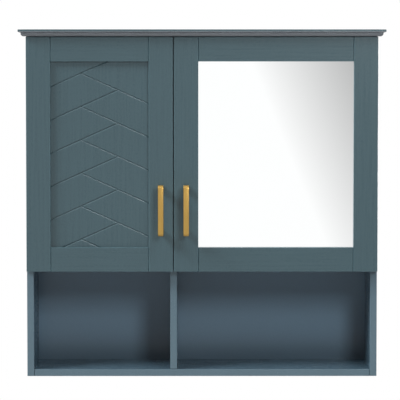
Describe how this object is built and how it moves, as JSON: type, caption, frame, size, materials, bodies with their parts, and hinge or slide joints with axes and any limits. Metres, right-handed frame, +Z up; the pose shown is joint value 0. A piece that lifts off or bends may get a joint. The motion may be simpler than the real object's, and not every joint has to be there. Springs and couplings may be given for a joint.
{
  "type": "medicine cabinet",
  "caption": "Wall-hung medicine cabinet: narrow chevron door and wide mirror door on hidden cup hinges over open niches, with a moulded crown and bar pulls.",
  "frame": {"origin": "on the wall plane, at the centre of the hanging cleat's rear face, midway between the two wall-screw holes", "axes": "+X to the right as seen from the front, +Y into the wall, +Z up"},
  "size_m": [0.635, 0.2085, 0.6046],
  "materials": {
    "door_paint": "satin blue-grey paint over grain",
    "carcass_paint": "satin blue-grey paint on board",
    "bare_board": "bare fibreboard",
    "brushed_gold": "satin gold plating",
    "silvered_glass": "flat mirror",
    "hardboard": "bare hardboard",
    "beech_dowel": "bare beech",
    "nickel_hinge": "nickel-plated",
    "zinc_screw": "zinc-plated",
    "clear_rubber": "clear soft pad",
    "catch_plastic": "moulded"
  },
  "bodies": {
    "cabinet": {"side_left": "carcass_paint", "side_right": "carcass_paint", "top_panel": "carcass_paint", "bottom_panel": "carcass_paint", "deck_panel": "carcass_paint", "upper_divider": "carcass_paint", "lower_divider": "carcass_paint", "back_panel": "carcass_paint", "hanging_cleat": "bare_board", "lower_cleat": "bare_board", "crown_board": "door_paint", "left_shelf": "carcass_paint", "right_shelf": "carcass_paint", "shelf_pins": "nickel_hinge", "carcass_dowels": "beech_dowel", "crown_screws": "zinc_screw", "left_upper_hinge_arm": "nickel_hinge", "left_lower_hinge_arm": "nickel_hinge", "right_upper_hinge_arm": "nickel_hinge", "right_lower_hinge_arm": "nickel_hinge", "left_hinge_plates": "nickel_hinge", "right_hinge_plates": "nickel_hinge", "hinge_plate_screws": "zinc_screw", "hinge_arm_screws": "zinc_screw", "left_catch": "catch_plastic", "right_catch": "catch_plastic", "catch_screws": "zinc_screw"},
    "left_door": {"left_hinge_stile": "door_paint", "left_lock_stile": "door_paint", "left_top_rail": "door_paint", "left_bottom_rail": "door_paint", "left_chevron_panel": "door_paint", "left_pull": "brushed_gold", "left_pull_screws": "zinc_screw", "left_upper_hinge_cup": "nickel_hinge", "left_lower_hinge_cup": "nickel_hinge", "left_cup_screws": "zinc_screw", "left_hinge_pins": "nickel_hinge", "left_bumpers": "clear_rubber", "left_strike_plate": "zinc_screw"},
    "right_door": {"right_hinge_stile": "door_paint", "right_lock_stile": "door_paint", "right_top_rail": "door_paint", "right_bottom_rail": "door_paint", "right_frame_dowels": "beech_dowel", "mirror_pane": "silvered_glass", "mirror_backing": "hardboard", "mirror_bead_left": "door_paint", "mirror_bead_right": "door_paint", "mirror_bead_top": "door_paint", "mirror_bead_bottom": "door_paint", "right_pull": "brushed_gold", "right_pull_screws": "zinc_screw", "right_upper_hinge_cup": "nickel_hinge", "right_lower_hinge_cup": "nickel_hinge", "right_cup_screws": "zinc_screw", "right_hinge_pins": "nickel_hinge", "right_bumpers": "clear_rubber", "right_strike_plate": "zinc_screw"}
  },
  "joints": [
    {"name": "left_door_hinge", "type": "hinge", "parent": "cabinet", "child": "left_door", "pos_m": [-0.2978, -0.1702, -0.1624], "axis": [0, 0, -1], "range_deg": [0, 95]},
    {"name": "right_door_hinge", "type": "hinge", "parent": "cabinet", "child": "right_door", "pos_m": [0.2978, -0.1702, -0.1624], "axis": [0, 0, 1], "range_deg": [0, 95]}
  ]
}
